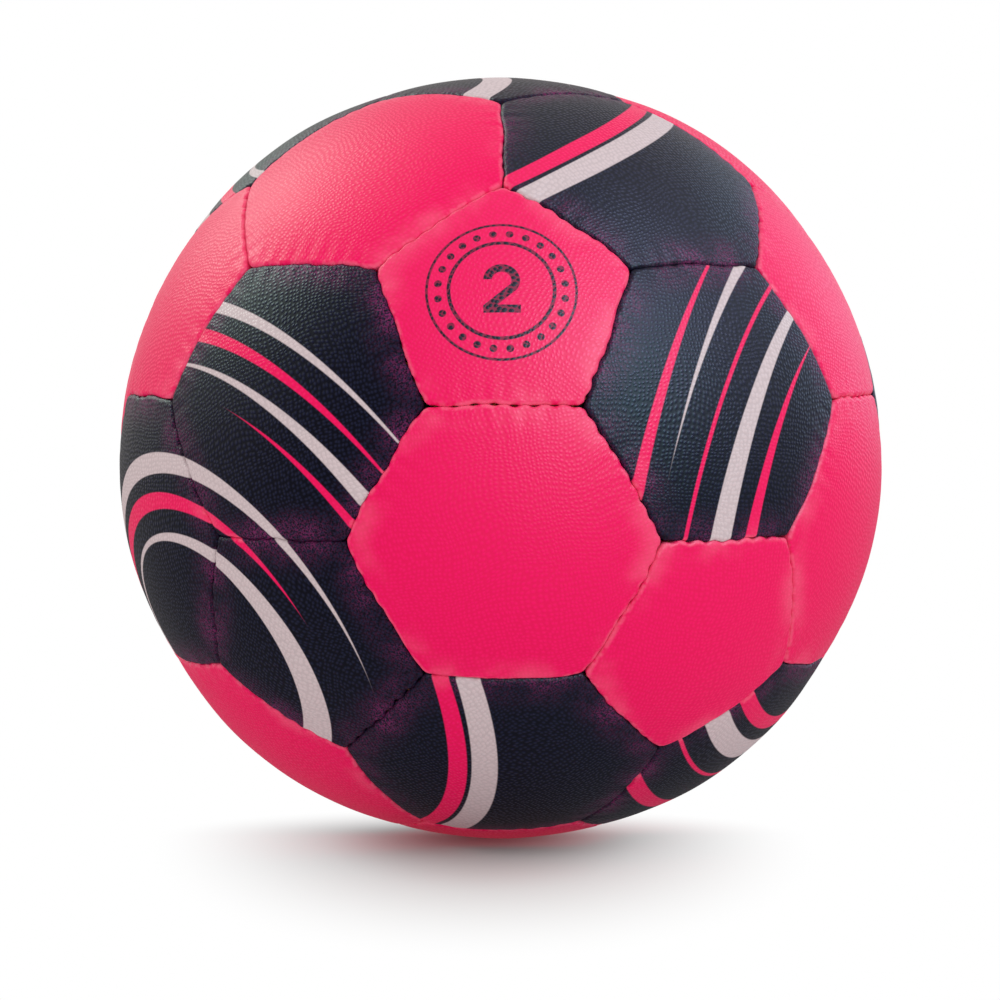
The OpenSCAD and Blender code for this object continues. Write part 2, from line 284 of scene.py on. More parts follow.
    # Where each point lay in the flat sheet, for the grain, which runs another way in every cover: its turn
    # is drawn at random with a seed from the cover's place. Over the roll the grain is drawn out.
    sheet_seed = int(abs(place[0][2] * 1e4 + place[1][2] * 1e3))
    sheet_turn = math.radians(float(np.random.default_rng(sheet_seed).uniform(0, 360)))
    drawn_out = 0.6
    rolled_in = drawn_out * roll_r * (math.pi / 2 - roll_turn - np.cos(roll_turn))
    flat_reach = rim_r * np.arccos(np.clip(polar, -1, 1)) + rolled_in
    flat = np.stack([flat_reach * np.cos(turn + sheet_turn), flat_reach * np.sin(turn + sheet_turn)], axis=1)
    face = np.stack([ways[:, 1], -ways[:, 0]], axis=1) * rim_r
    loops = np.empty(len(mesh.loops), int)
    mesh.loops.foreach_get("vertex_index", loops)
    for name, lain in (("hide", flat), ("print", face)):
        layer = mesh.uv_layers.new(name=name)
        layer.data.foreach_set("uv", (lain[loops] / sheet_span + 0.5).astype(np.float32).ravel())

    # The print, its wear and the painted sheen on the pink follow the distance from the rim, in millimetres,
    # and the share of the seam
    from_rim = mesh.attributes.new("from_rim", "FLOAT", "POINT")
    from_rim.data.foreach_set("value", np.where(level == 0, inset / mm, 0).astype(np.float32))
    along_seam = mesh.attributes.new("along_seam", "FLOAT", "POINT")
    along_seam.data.foreach_set("value", run_share.astype(np.float32))

    mesh.vertices.foreach_set("co", (points @ turned.T).astype(np.float32).ravel())
    mesh.update()
    for polygon in mesh.polygons:
        polygon.use_smooth = True
    return mesh


def panel_place(latitude, turn, roll):
    """Turns a cover's own frame, its middle upwards, to its place on the ball."""
    return (
        Matrix.Rotation(math.radians(turn - 90), 4, "Z")
        @ Matrix.Rotation(math.radians(90 - latitude), 4, "Y")
        @ Matrix.Rotation(math.radians(roll), 4, "Z")
    )


# Each ring of covers: its name, how many sides they have, and in degrees its latitude, the turn of its
# first cover round the ball, and the covers' turn about their own middles
pentagon_latitude = math.degrees(math.atan(0.5))
high_latitude = 90 - math.degrees(face_turn)
low_latitude = 90 - math.degrees(face_turn + 2 * hexagon_slope)
rings = [
    ("pentagon_top", 5, 90, 36, 0),
    ("pentagon_upper", 5, pentagon_latitude, 0, 0),
    ("pentagon_lower", 5, -pentagon_latitude, 36, 180),
    ("pentagon_bottom", 5, -90, 0, 180),
    ("hexagon_top", 6, high_latitude, 36, 0),
    ("hexagon_upper", 6, low_latitude, 36, 0),
    ("hexagon_lower", 6, -low_latitude, 0, 0),
    ("hexagon_bottom", 6, -high_latitude, 0, 0),
]
navy_covers = {
    "pentagon_top", "pentagon_lower_3", "pentagon_lower_5", "hexagon_top_1", "hexagon_top_3", "hexagon_top_4",
    "hexagon_upper_1", "hexagon_upper_2", "hexagon_upper_5", "hexagon_lower_3", "hexagon_lower_4",
    "hexagon_lower_5", "hexagon_bottom_1", "hexagon_bottom_2", "hexagon_bottom_4",
}
ring_turn = 360 / 5
blanks = {5: cut_blank(5), 6: cut_blank(6)}
places = {}
covers = {}
for ring, sides, latitude, first_turn, roll in rings:
    single = ring in ("pentagon_top", "pentagon_bottom")
    for number in range(1, 2 if single else 6):
        node = ring if single else f"{ring}_{number}"
        places[node] = panel_place(latitude, first_turn + ring_turn * (number - 1), roll)
        dye = "navy" if node in navy_covers else "pink"
        mesh = shape_cover(blanks[sides].copy(), sides, places[node], dye)
        cover = bpy.data.objects.new(f"cover_{node}", mesh)
        bpy.context.scene.collection.objects.link(cover)
        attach(cover, "root")
        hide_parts(node)
        covers[node] = cover
homes = {node: place.to_3x3() @ Vector((0, 0, 1)) for node, place in places.items()}


# Valve hole
# The cover over the valve has one round hole, cut with a punch before it is glued down. The nose of the valve
# core stands in it, half a millimetre below the surface.
valve_way = homes["hexagon_upper_3"]
punch_r = 2.0 * mm
punch_l = 8 * mm
deselect()
bpy.ops.mesh.primitive_cylinder_add(
    vertices=48, radius=punch_r, depth=punch_l, location=valve_way * ball_r,
    rotation=valve_way.to_track_quat("Z", "Y").to_euler(),
)
punch = bpy.context.object
valve_cover = covers["hexagon_upper_3"]
bpy.context.view_layer.objects.active = valve_cover
hole = valve_cover.modifiers.new("hole", "BOOLEAN")
hole.operation = "DIFFERENCE"
hole.solver = "EXACT"
hole.object = punch
bpy.ops.object.modifier_apply(modifier="hole")
bpy.data.objects.remove(punch)


# Pink covers
# Synthetic leather: a polyurethane skin dyed through in a fluorescent pink, pressed with a pebble grain of
# about 1 mm for grip and backed with cloth. A pale sheen is painted on it towards the rims and on the rolled
# edge, and shade is painted into the valleys of its grain, which makes them a little darker.
# Painted shade: the first colour is the pink in the valleys of the grain, darker than on the pebbles
pink_valley_shade = "#e20256"
pink_pebble = "#ec0863"
# A painted pale sheen, laid towards the rims and on the rolled edge
pink_painted_sheen = "#f78fa6"
grain_pitch = 1.02 * mm
grain_h = 0.13 * mm
pebble_roughness = 0.4
valley_roughness = 0.54

# The skin has no lacquer, so it mirrors only a quarter of what a plain plastic would
skin_shine = 0.13


def ink(hex_colour):
    """The linear colour of an sRGB hex value."""
    parts = [int(hex_colour[i : i + 2], 16) / 255 for i in (1, 3, 5)]
    return [p / 12.92 if p <= 0.04045 else ((p + 0.055) / 1.055) ** 2.4 for p in parts] + [1]


def add(tree, kind, inputs=(), **settings):
    """Adds a node, makes its settings, and links or sets its inputs, which come by name, or in a list by
    their order. Returns its outputs. A MapRange takes a value, its start and end, and the result at both."""
    new = tree.nodes.new(f"ShaderNode{kind}")
    for key, value in settings.items():
        setattr(new, key, value)
    for key, value in inputs.items() if isinstance(inputs, dict) else enumerate(inputs):
        socket = new.inputs[key]
        if isinstance(value, bpy.types.NodeSocket):
            tree.links.new(value, socket)
        else:
            socket.default_value = value
    return new.outputs


def blank_material(name):
    """A new material with an empty node tree."""
    material = bpy.data.materials.new(name)
    material.use_nodes = True
    material.node_tree.nodes.clear()
    return material, material.node_tree


def pebble_grain(tree):
    """The pressed grain in wavy rows: its height from 0 in the valleys to 1 on the pebbles."""
    sheet = add(tree, "UVMap", uv_map="hide")[0]
    bends_on_sheet = 5
    bend = 0.06
    bends = add(
        tree, "TexNoise", {"Vector": sheet, "Scale": bends_on_sheet, "Detail": 1}, noise_dimensions="2D"
    )["Color"]
    centred = add(tree, "VectorMath", [bends, (0.5, 0.5, 0.5)], operation="SUBTRACT")[0]
    bent = add(tree, "VectorMath", [centred, (bend, bend, 0), sheet], operation="MULTIPLY_ADD")[0]
    pebble = add(
        tree, "TexVoronoi", {"Vector": bent, "Scale": sheet_span / grain_pitch, "Randomness": 0.5},
        voronoi_dimensions="2D", feature="F1",
    )["Distance"]
    return add(tree, "MapRange", [pebble, 0, 0.56, 1, 0], interpolation_type="SMOOTHSTEP")[0]


def leather(name, colour, relief):
    """Grained polyurethane skin: soft broken highlights, duller in the valleys of the grain, with pores
    0.4 mm apart, which is coarser than the real ones so that they show."""
    material, tree = blank_material(name)
    height = pebble_grain(tree)
    pores_per_m = 2600
    pore_share = 0.12
    here = add(tree, "TexCoord")["Object"]
    pores = add(tree, "TexNoise", {"Vector": here, "Scale": pores_per_m, "Detail": 2})[0]
    skin = add(tree, "Math", [pores, pore_share, height], operation="MULTIPLY_ADD")[0]
    roughness = add(
        tree, "MapRange", [height, 0, 1, valley_roughness, pebble_roughness], interpolation_type="SMOOTHSTEP"
    )[0]
    surface = add(tree, "BsdfPrincipled", {
        "Base Color": colour(tree, height),
        "Roughness": roughness,
        "Specular IOR Level": skin_shine,
        "Normal": add(tree, "Bump", {"Strength": relief, "Distance": grain_h, "Height": skin})[0],
    })[0]
    add(tree, "OutputMaterial", [surface])
    return material


def pink_skin(tree, height):
    """Fluorescent pink, with painted shade that makes it a little deeper in the valleys of the grain. A pale
    sheen is painted on it towards the rims in clouds of about 14 mm, and on the rolled edge in streaks of
    about 2.4 mm."""
    # Painted shade: the pink is darker in the valleys of the grain
    dye_and_valley_shade = add(
        tree, "Mix", {"Factor": height, "A": ink(pink_valley_shade), "B": ink(pink_pebble)}, data_type="RGBA"
    )["Result"]
    here = add(tree, "TexCoord")["Object"]
    from_rim = add(tree, "Attribute", attribute_name="from_rim")["Fac"]
    # Painted sheen towards the rims, in clouds
    clouds_per_m = 70
    cloud = add(tree, "TexNoise", {"Vector": here, "Scale": clouds_per_m, "Detail": 3})[0]
    cloud = add(tree, "MapRange", [cloud, 0.42, 0.68], interpolation_type="SMOOTHSTEP")[0]
    near = add(tree, "MapRange", [from_rim, 0.3, 7, 0.2, 0], interpolation_type="SMOOTHSTEP")[0]
    rim_sheen = add(tree, "Math", [near, cloud], operation="MULTIPLY")[0]
    # Painted sheen on the rolled edge, in streaks
    streaks_per_m = 420
    streak = add(tree, "TexNoise", {"Vector": here, "Scale": streaks_per_m, "Detail": 2})[0]
    streak = add(tree, "MapRange", [streak, 0.35, 0.6], interpolation_type="SMOOTHSTEP")[0]
    on_edge = add(tree, "MapRange", [from_rim, 0.25, 1.3, 0.3, 0], interpolation_type="SMOOTHSTEP")[0]
    edge_sheen = add(tree, "Math", [on_edge, streak], operation="MULTIPLY")[0]
    pale = add(tree, "Math", [rim_sheen, edge_sheen], operation="MAXIMUM")[0]
    return add(tree, "Mix", {"Factor": pale, "A": dye_and_valley_shade, "B": ink(pink_painted_sheen)}, data_type="RGBA")["Result"]


pink_relief = 0.45
pink = leather("pink_pu_leather", pink_skin, pink_relief)
for node, cover in covers.items():
    if node not in navy_covers:
        cover.data.materials.append(pink)


# Navy covers
# The same pink sheet, screen printed before it is cut: dark ink all over, with nested crescents left pink or
# laid in white. The dark ink thins out towards the rims, where pink shows between the pebbles.
# Painted shade: the first colour is the navy in the valleys of the grain, much darker than on the pebbles
navy_valley_shade = "#080a1c"
navy_pebble = "#1a1f39"
pink_speck = "#9a3078"
white_ink = "#c8bcc0"
navy_relief = 0.62


def way_of(latitude, turn):
    """The direction of a place on the ball."""
    return Vector((
        math.cos(math.radians(latitude)) * math.sin(math.radians(turn)),
        -math.cos(math.radians(latitude)) * math.cos(math.radians(turn)),
        math.sin(math.radians(latitude)),
    ))


def span_from(tree, way):
    """The distance over the ball, in millimetres, from a place on it."""
    here = add(tree, "VectorMath", [add(tree, "TexCoord")["Object"]], operation="NORMALIZE")[0]
    closeness = add(tree, "VectorMath", [here, way], operation="DOT_PRODUCT")["Value"]
    angle = add(tree, "Math", [closeness], operation="ARCCOSINE")[0]
    return add(tree, "Math", [angle, ball_r / mm], operation="MULTIPLY")[0]


def between(tree, outer_span, outer, inner_span, inner):
    """The print inside one circle and outside another, with the soft edge of a screen print."""
    soft = 0.18
    inside = add(
        tree, "MapRange", [outer_span, outer - soft, outer + soft, 1, 0], interpolation_type="SMOOTHSTEP"
    )[0]
    outside = add(
        tree, "MapRange", [inner_span, inner - soft, inner + soft, 0, 1], interpolation_type="SMOOTHSTEP"
    )[0]
    return add(tree, "Math", [inside, outside], operation="MULTIPLY")[0]


def either(tree, prints):
    """The print of any of several shapes."""
    whole = prints[0]
    for shape in prints[1:]:
        whole = add(tree, "Math", [whole, shape], operation="MAXIMUM")[0]
    return whole


def worn_navy(tree, height):
    """Navy ink, speckled with pink along the rims where it misses the valleys of the grain: in patches of
    about 8 mm, with specks of about 0.4 mm."""
    here = add(tree, "TexCoord")["Object"]
    from_rim = add(tree, "Attribute", attribute_name="from_rim")["Fac"]
    along_seam = add(tree, "Attribute", attribute_name="along_seam")["Fac"]
    rim_w = 10.5
    rim_taper = 1.6
    near = add(tree, "MapRange", [from_rim, 0, rim_w, 1, 0], interpolation_type="SMOOTHSTEP")[0]
    near = add(tree, "Math", [near, rim_taper], operation="POWER")[0]
    mid_seam = add(tree, "MapRange", [along_seam, 0.5, 1, 1, 0.3], interpolation_type="SMOOTHSTEP")[0]
    patches_per_m = 130
    patch = add(tree, "TexNoise", {"Vector": here, "Scale": patches_per_m, "Detail": 3})[0]
    patch = add(tree, "MapRange", [patch, 0.2, 0.8], interpolation_type="SMOOTHSTEP")[0]
    specks_per_m = 2600
    speck = add(tree, "TexNoise", {"Vector": here, "Scale": specks_per_m, "Detail": 1})[0]
    speck = add(tree, "MapRange", [speck, 0.35, 0.65], interpolation_type="SMOOTHSTEP")[0]
    valley = add(tree, "MapRange", [height, 0.2, 0.9, 1, 0.25], interpolation_type="SMOOTHSTEP")[0]
    most_bare = 0.6
    bare = most_bare
    for share in (near, mid_seam, patch, speck, valley):
        bare = add(tree, "Math", [bare, share], operation="MULTIPLY")[0]
    # Painted shade: the navy ink is darker in the valleys of the grain
    navy = add(
        tree, "Mix", {"Factor": height, "A": ink(navy_valley_shade), "B": ink(navy_pebble)}, data_type="RGBA"
    )["Result"]
    return add(tree, "Mix", {"Factor": bare, "A": navy, "B": ink(pink_speck)}, data_type="RGBA")["Result"]


def crescent_print(middle, shifted, whites, pinks):
    """The colour of a printed cover: each band lies inside a circle round one middle and outside a circle
    round the other, so it is broad on one side and runs out on the other."""
    def colour(tree, height):
        spans = (span_from(tree, middle), span_from(tree, shifted))
        white = either(tree, [between(tree, spans[a], outer, spans[b], inner) for a, outer, b, inner in whites])
        bare = either(tree, [between(tree, spans[a], outer, spans[b], inner) for a, outer, b, inner in pinks])
        striped = add(
            tree, "Mix", {"Factor": bare, "A": worn_navy(tree, height), "B": pink_skin(tree, height)},
            data_type="RGBA",
        )["Result"]
        laid = add(tree, "MapRange", [height, 0, 0.4, 0.88, 1], interpolation_type="SMOOTHSTEP")[0]
        laid = add(tree, "Math", [white, laid], operation="MULTIPLY")[0]
        return add(tree, "Mix", {"Factor": laid, "A": striped, "B": ink(white_ink)}, data_type="RGBA")["Result"]
    return colour


# Three groups of four navy covers stand a third of a turn apart about one pink hexagon. Each band is given
# as its outer circle's middle, 0 or 1, and radius in millimetres, and then those of its inner circle.
waves_white = [(0, 32.6, 1, 28.4), (1, 48.4, 0, 46), (0, 71.2, 1, 68.4), (1, 84.6, 0, 83.6)]
waves_pink = [(1, 39.4, 0, 38), (0, 64.4, 1, 63.2), (1, 77.6, 0, 76.4)]
middle_shift = 3 * mm
corner_covers = ("pentagon_lower_5", "hexagon_lower_5", "hexagon_bottom_5")
middle = sum((homes[node] for node in corner_covers), Vector()).normalized()
shifted = (middle + middle_shift / ball_r * way_of(latitude=40, turn=-120)).normalized()
linked = homes["hexagon_lower_2"]
third = Matrix.Rotation(2 * math.pi / 3, 3, linked)
left_group = ("pentagon_lower_5", "hexagon_upper_5", "hexagon_lower_5", "hexagon_bottom_1")
for group, turned in (("left", Matrix.Identity(3)), ("top", third), ("back", third @ third)):
    printed = leather(
        f"printed_pu_leather_{group}",
        crescent_print(turned @ middle, turned @ shifted, waves_white, waves_pink),
        navy_relief,
    )
    for first in left_group:
        node = min(homes, key=lambda n: (homes[n] - turned @ homes[first]).length)
        covers[node].data.materials.append(printed)

# The three single hexagons between the groups carry wider arcs, round the hexagon that they stand about
arcs_white = [(0, 60, 1, 56.4), (1, 75.4, 0, 74)]
arcs_pink = [(0, 50.3, 1, 49), (0, 67, 0, 66), (0, 82, 1, 80.6)]
linked_shift = (linked + middle_shift / ball_r * way_of(latitude=50, turn=150)).normalized()
printed = leather(
    "printed_pu_leather_linked", crescent_print(linked, linked_shift, arcs_white, arcs_pink), navy_relief
)
for node in ("hexagon_upper_1", "hexagon_upper_2", "hexagon_bottom_2"):
    covers[node].data.materials.append(printed)


# Size mark
# The front upper pentagon carries the ball's size: a plain numeral inside two fine rings with a row of dots
# between them, screen printed in the navy ink. Its sizes are in millimetres on the cover.
mark_ink = "#1d1a2b"
mark_middle = (-0.5, 1.6, 0)
outer_ring_r = 16.4
outer_ring_half_w = 0.3
inner_ring_r = 11.6
inner_ring_half_w = 0.42
dot_count = 24
dot_ring_r = 14
dot_r = 0.85
mark_soft = 0.12
numeral_half_w = 0.95
bowl_r = 3.1
bowl_up = 2.1
bowl_end_up = 2.4
bowl_foot_up = 0.6
leg_foot = Vector((-3.1, -4.4))
leg_head = Vector((2.65, 0.55))
base_up = -4.7
base_middle = 0.1
base_half_l = 4.1


def size_mark(tree, height):
    """Pink sheet with the printed numeral and rings."""
    sheet = add(tree, "UVMap", uv_map="print")[0]
    sheet_middle = (0.5, 0.5, 0)
    spot = add(tree, "VectorMath", [sheet, sheet_middle], operation="SUBTRACT")[0]
    spot = add(tree, "VectorMath", {0: spot, "Scale": sheet_span / mm}, operation="SCALE")[0]
    spot = add(tree, "VectorMath", [spot, mark_middle], operation="SUBTRACT")[0]
    across, up = add(tree, "SeparateXYZ", [spot])[:2]
    out = add(tree, "VectorMath", [spot], operation="LENGTH")["Value"]

    def stroke(distance, half_w):
        """The print within this distance of a line."""
        return add(
            tree, "MapRange", [distance, half_w - mark_soft, half_w + mark_soft, 1, 0],
            interpolation_type="SMOOTHSTEP",
        )[0]

    def apart(value, middle):
        """How far a value is from a middle one."""
        return add(
            tree, "Math", [add(tree, "Math", [value, middle], operation="SUBTRACT")[0]], operation="ABSOLUTE"
        )[0]

    outer_ring = stroke(apart(out, outer_ring_r), outer_ring_half_w)
    inner_ring = stroke(apart(out, inner_ring_r), inner_ring_half_w)
    bearing = add(tree, "Math", [up, across], operation="ARCTAN2")[0]
    step = add(tree, "Math", [bearing, dot_count / (2 * math.pi)], operation="MULTIPLY")[0]
    step = add(tree, "Math", [step], operation="FRACT")[0]
    dot_pitch = 2 * math.pi * dot_ring_r / dot_count
    beside = add(tree, "Math", [apart(step, 0.5), dot_pitch], operation="MULTIPLY")[0]
    dots = add(tree, "Math", [apart(out, dot_ring_r), 2], operation="POWER")[0]
    dots = add(tree, "Math", [beside, beside, dots], operation="MULTIPLY_ADD")[0]
    dots = stroke(add(tree, "Math", [dots], operation="SQRT")[0], dot_r)

    # The numeral's bowl is a ring that ends on the left above its middle and on the right near its foot
    bowl_out = add(tree, "VectorMath", [spot, (0, bowl_up, 0)], operation="DISTANCE")["Value"]
    above = add(tree, "Math", [up, bowl_end_up], operation="GREATER_THAN")[0]
    right = add(tree, "Math", [across, 0], operation="GREATER_THAN")[0]
    over_foot = add(tree, "Math", [up, bowl_foot_up], operation="GREATER_THAN")[0]
    right = add(tree, "Math", [right, over_foot], operation="MULTIPLY")[0]
    bowl = add(tree, "Math", [above, right], operation="MAXIMUM")[0]
    bowl = add(tree, "Math", [stroke(apart(bowl_out, bowl_r), numeral_half_w), bowl], operation="MULTIPLY")[0]

    # Its leg is a straight stroke: the distance from the nearest point between the leg's two ends
    lean = leg_head - leg_foot
    from_foot = add(tree, "VectorMath", [spot, leg_foot.to_3d()], operation="SUBTRACT")[0]
    reach = add(tree, "VectorMath", [from_foot, lean.to_3d()], operation="DOT_PRODUCT")["Value"]
    reach = add(tree, "Math", [reach, lean.length_squared], operation="DIVIDE", use_clamp=True)[0]
    nearest = add(tree, "VectorMath", {0: lean.to_3d(), "Scale": reach}, operation="SCALE")[0]
    leg = stroke(add(tree, "VectorMath", [from_foot, nearest], operation="DISTANCE")["Value"], numeral_half_w)
    base = stroke(apart(across, base_middle), base_half_l)
    base = add(tree, "Math", [stroke(apart(up, base_up), numeral_half_w), base], operation="MULTIPLY")[0]

    printed = either(tree, [outer_ring, inner_ring, dots, bowl, leg, base])
    laid = add(tree, "MapRange", [height, 0, 0.3, 0.72, 1], interpolation_type="SMOOTHSTEP")[0]
    laid = add(tree, "Math", [printed, laid], operation="MULTIPLY")[0]
    return add(
        tree, "Mix", {"Factor": laid, "A": pink_skin(tree, height), "B": ink(mark_ink)}, data_type="RGBA"
    )["Result"]


covers["pentagon_upper_1"].data.materials.clear()
covers["pentagon_upper_1"].data.materials.append(leather("pink_pu_leather_size_mark", size_mark, pink_relief))


# Stitches
# Waxed thread of a dull gold, 0.65 mm thick. It crosses every seam eight times and shows as a short bit in
# each nick; it is anchored in the turned-in rims on both sides.
stitch_t = 0.65 * mm
stitch_reach = 1.1 * mm
stitch_bow = 0.22 * mm
stitch_down = 1.3 * mm
most_sunk = 0.9
closing_sunk = 1.7 * mm
corner_sunk = 0.7 * mm
thread_gold = "#c07838"
thread_shade_and_soil = "#3a1e12"
deselect()
bpy.ops.mesh.primitive_cylinder_add(
    vertices=8, radius=stitch_t / 2, depth=2 * stitch_reach, end_fill_type="NGON", rotation=(0, math.pi / 2, 0)
)
bit = bpy.context.object
bpy.ops.object.transform_apply(rotation=True)
bpy.ops.object.mode_set(mode="EDIT")
for cut in (-0.6, 0, 0.6):
    bpy.ops.mesh.select_all(action="SELECT")
    bpy.ops.mesh.bisect(plane_co=(cut * stitch_reach, 0, 0), plane_no=(1, 0, 0))
bpy.ops.object.mode_set(mode="OBJECT")
for vertex in bit.data.vertices:
    vertex.co.z -= stitch_bow * (vertex.co.x / stitch_reach) ** 2
bits = []
sink = np.random.default_rng(12)
seams_sewn = set()
for node, place in places.items():
    if not node.startswith("hexagon"):
        continue
    for side in range(6):
        seam = place @ Matrix.Rotation(math.radians(360 / 6 * side), 4, "Z") @ Matrix.Rotation(slope[6], 4, "Y")
        key = tuple(round(v, 2) + 0.0 for v in seam @ Vector((0, 0, 1)))
        if key in seams_sewn:
            continue
        seams_sewn.add(key)
        to_closing = (Vector(closing_seam) - seam @ Vector((0, 0, rim_r))).length
        for stitch in range(stitch_count):
            turn = (stitch - (stitch_count - 1) / 2) * stitch_pitch / rim_r
            down = stitch_down + sink.uniform(0, most_sunk) * mm
            down += closing_sunk * math.exp(-((to_closing / closing_reach) ** 4))
            if stitch in (0, stitch_count - 1):
                down += corner_sunk
            bits.append(seam @ Matrix.Rotation(turn, 4, "X") @ Matrix.Translation((0, 0, rim_r - down)))

# All the bits are one mesh, because 720 objects would be slow to handle
corners = [v.co.copy() for v in bit.data.vertices]
sides_of_bit = [tuple(p.vertices) for p in bit.data.polygons]
points = [at @ corner for at in bits for corner in corners]
faces = [tuple(i + n * len(corners) for i in side) for n in range(len(bits)) for side in sides_of_bit]
bpy.data.objects.remove(bit)
sewn = bpy.data.meshes.new("stitches")
sewn.from_pydata(points, [], faces)
sewn.update()
for polygon in sewn.polygons:
    polygon.use_smooth = len(polygon.vertices) == 4
stitches = bpy.data.objects.new("stitches", sewn)
bpy.context.scene.collection.objects.link(stitches)
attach(stitches, "root")

# Waxed polyester has a dull sheen, with painted shade in dark lines between its twisted yarns, one every 0.26
# mm
thread, tree = blank_material("waxed_polyester_thread")
here = add(tree, "TexCoord")["Object"]
twist_scale = 1400
twist = add(
    tree, "TexWave", {"Vector": here, "Scale": twist_scale, "Distortion": 1.5, "Detail": 1},
    wave_type="BANDS", bands_direction="DIAGONAL",
)[1]
soiled_per_m = 90
soiled = add(tree, "TexNoise", {"Vector": here, "Scale": soiled_per_m, "Detail": 2})[0]
soiled = add(tree, "MapRange", [soiled, 0.3, 0.7, 0.5, 1], interpolation_type="SMOOTHSTEP")[0]
# The dark colour is painted shade between the yarns and soiling in patches
shade_and_soil = add(tree, "Math", [twist, soiled], operation="MULTIPLY")[0]
surface = add(tree, "BsdfPrincipled", {
    "Base Color": add(
        tree, "Mix", {"Factor": shade_and_soil, "A": ink(thread_shade_and_soil), "B": ink(thread_gold)}, data_type="RGBA"
    )["Result"],
    "Roughness": 0.5,
    "Specular IOR Level": skin_shine,
    "Normal": add(tree, "Bump", {"Strength": 0.5, "Distance": 0.08 * mm, "Height": twist})[0],
})[0]
add(tree, "OutputMaterial", [surface])
sewn.materials.append(thread)


def dress(nodes, material):
    """Gives a material to the CAD nodes that stay."""
    for node in nodes:
        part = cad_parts[node]
        part.data.materials.clear()
        part.data.materials.append(material)


dress([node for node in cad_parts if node.startswith("thread_")], thread)


# Foam and lining
# Each cover lies on a pad of fine latex foam, and each pad on four laid-up plies of cotton and polyester
# cloth. Both are hidden once the ball is sewn up.
foam_cream = "#e9dfc4"
# Painted shade in the foam's open cells
foam_cell_shade = "#cdbf9c"
cell_w = 0.6 * mm
cloth_high = "#ddd7c8"
# Painted shade in the gaps of the weave
cloth_gap_shade = "#a9a294"
yarn_pitch = 0.754 * mm

# Latex foam looks dull and creamy, with its open cells darker from painted shade
foam, tree = blank_material("latex_foam_cream")
here = add(tree, "TexCoord")["Object"]
cells = add(tree, "TexVoronoi", {"Vector": here, "Scale": 1 / cell_w}, feature="F1")["Distance"]
open_cell = add(tree, "MapRange", [cells, 0.1, 0.6], interpolation_type="SMOOTHSTEP")[0]
surface = add(tree, "BsdfPrincipled", {
    "Base Color": add(
        tree, "Mix", {"Factor": open_cell, "A": ink(foam_cream), "B": ink(foam_cell_shade)}, data_type="RGBA"
    )["Result"],
    "Roughness": 0.9,
    "Normal": add(tree, "Bump", {"Strength": 0.6, "Distance": 0.1 * mm, "Height": cells})[0],
})[0]
add(tree, "OutputMaterial", [surface])
dress(["foam_pentagons", "foam_hexagons"], foam)

# Woven cotton shows its raised yarns pale and the gaps between them grey, which is painted shade. A wave
# texture of scale 1 has twenty bands in two pi metres.
lining, tree = blank_material("cotton_ply_lining")
here = add(tree, "TexCoord")["Object"]
weave_scale = 2 * math.pi / 20 / yarn_pitch
warp = add(tree, "TexWave", {"Vector": here, "Scale": weave_scale}, bands_direction="X")[1]
weft = add(tree, "TexWave", {"Vector": here, "Scale": weave_scale}, bands_direction="Z")[1]
weave = add(tree, "Math", [warp, weft], operation="MAXIMUM")[0]
surface = add(tree, "BsdfPrincipled", {
    "Base Color": add(
        tree, "Mix", {"Factor": weave, "A": ink(cloth_gap_shade), "B": ink(cloth_high)}, data_type="RGBA"
    )["Result"],
    "Roughness": 0.85,
    "Normal": add(tree, "Bump", {"Strength": 0.5, "Distance": 0.1 * mm, "Height": weave})[0],
})[0]
add(tree, "OutputMaterial", [surface])
dress(["lining_pentagons", "lining_hexagons"], lining)


# Bladder, valve and patches
# The bladder is moulded butyl rubber, black with a bloom of talc. The valve's stem is vulcanised to it, and
# its softer core takes the pump's needle. Rubberised patches stiffen the valve's place and balance it.
def rubber(name, colour, bloom, roughness):
    """Moulded rubber: matt, with a pale bloom in clouds of about 8 mm and a faint pitting from the mould,
    0.6 mm apart."""
    material, tree = blank_material(name)
    here = add(tree, "TexCoord")["Object"]
    clouds_per_m = 120
    cloud = add(tree, "TexNoise", {"Vector": here, "Scale": clouds_per_m, "Detail": 4})[0]
    cloud = add(tree, "MapRange", [cloud, 0.45, 0.8], interpolation_type="SMOOTHSTEP")[0]
    pits_per_m = 1800
    pits = add(tree, "TexNoise", {"Vector": here, "Scale": pits_per_m, "Detail": 2})[0]
    surface = add(tree, "BsdfPrincipled", {
        "Base Color": add(
            tree, "Mix", {"Factor": cloud, "A": ink(colour), "B": ink(bloom)}, data_type="RGBA"
        )["Result"],
        "Roughness": roughness,
        "Normal": add(tree, "Bump", {"Strength": 0.3, "Distance": 0.05 * mm, "Height": pits})[0],
    })[0]
    add(tree, "OutputMaterial", [surface])
    return material


dress(["bladder"], rubber("butyl_rubber_bladder", colour="#191818", bloom="#3c3936", roughness=0.62))
dress(["valve_stem"], rubber("vulcanised_rubber_stem", colour="#1d1c1c", bloom="#383532", roughness=0.55))
dress(["valve_core"], rubber("soft_rubber_valve_core", colour="#26211f", bloom="#4a423e", roughness=0.48))
patch_rubber = rubber("rubberised_cloth_patch", colour="#2b2724", bloom="#4d463f", roughness=0.7)
dress(["valve_patch", "balance_patch"], patch_rubber)


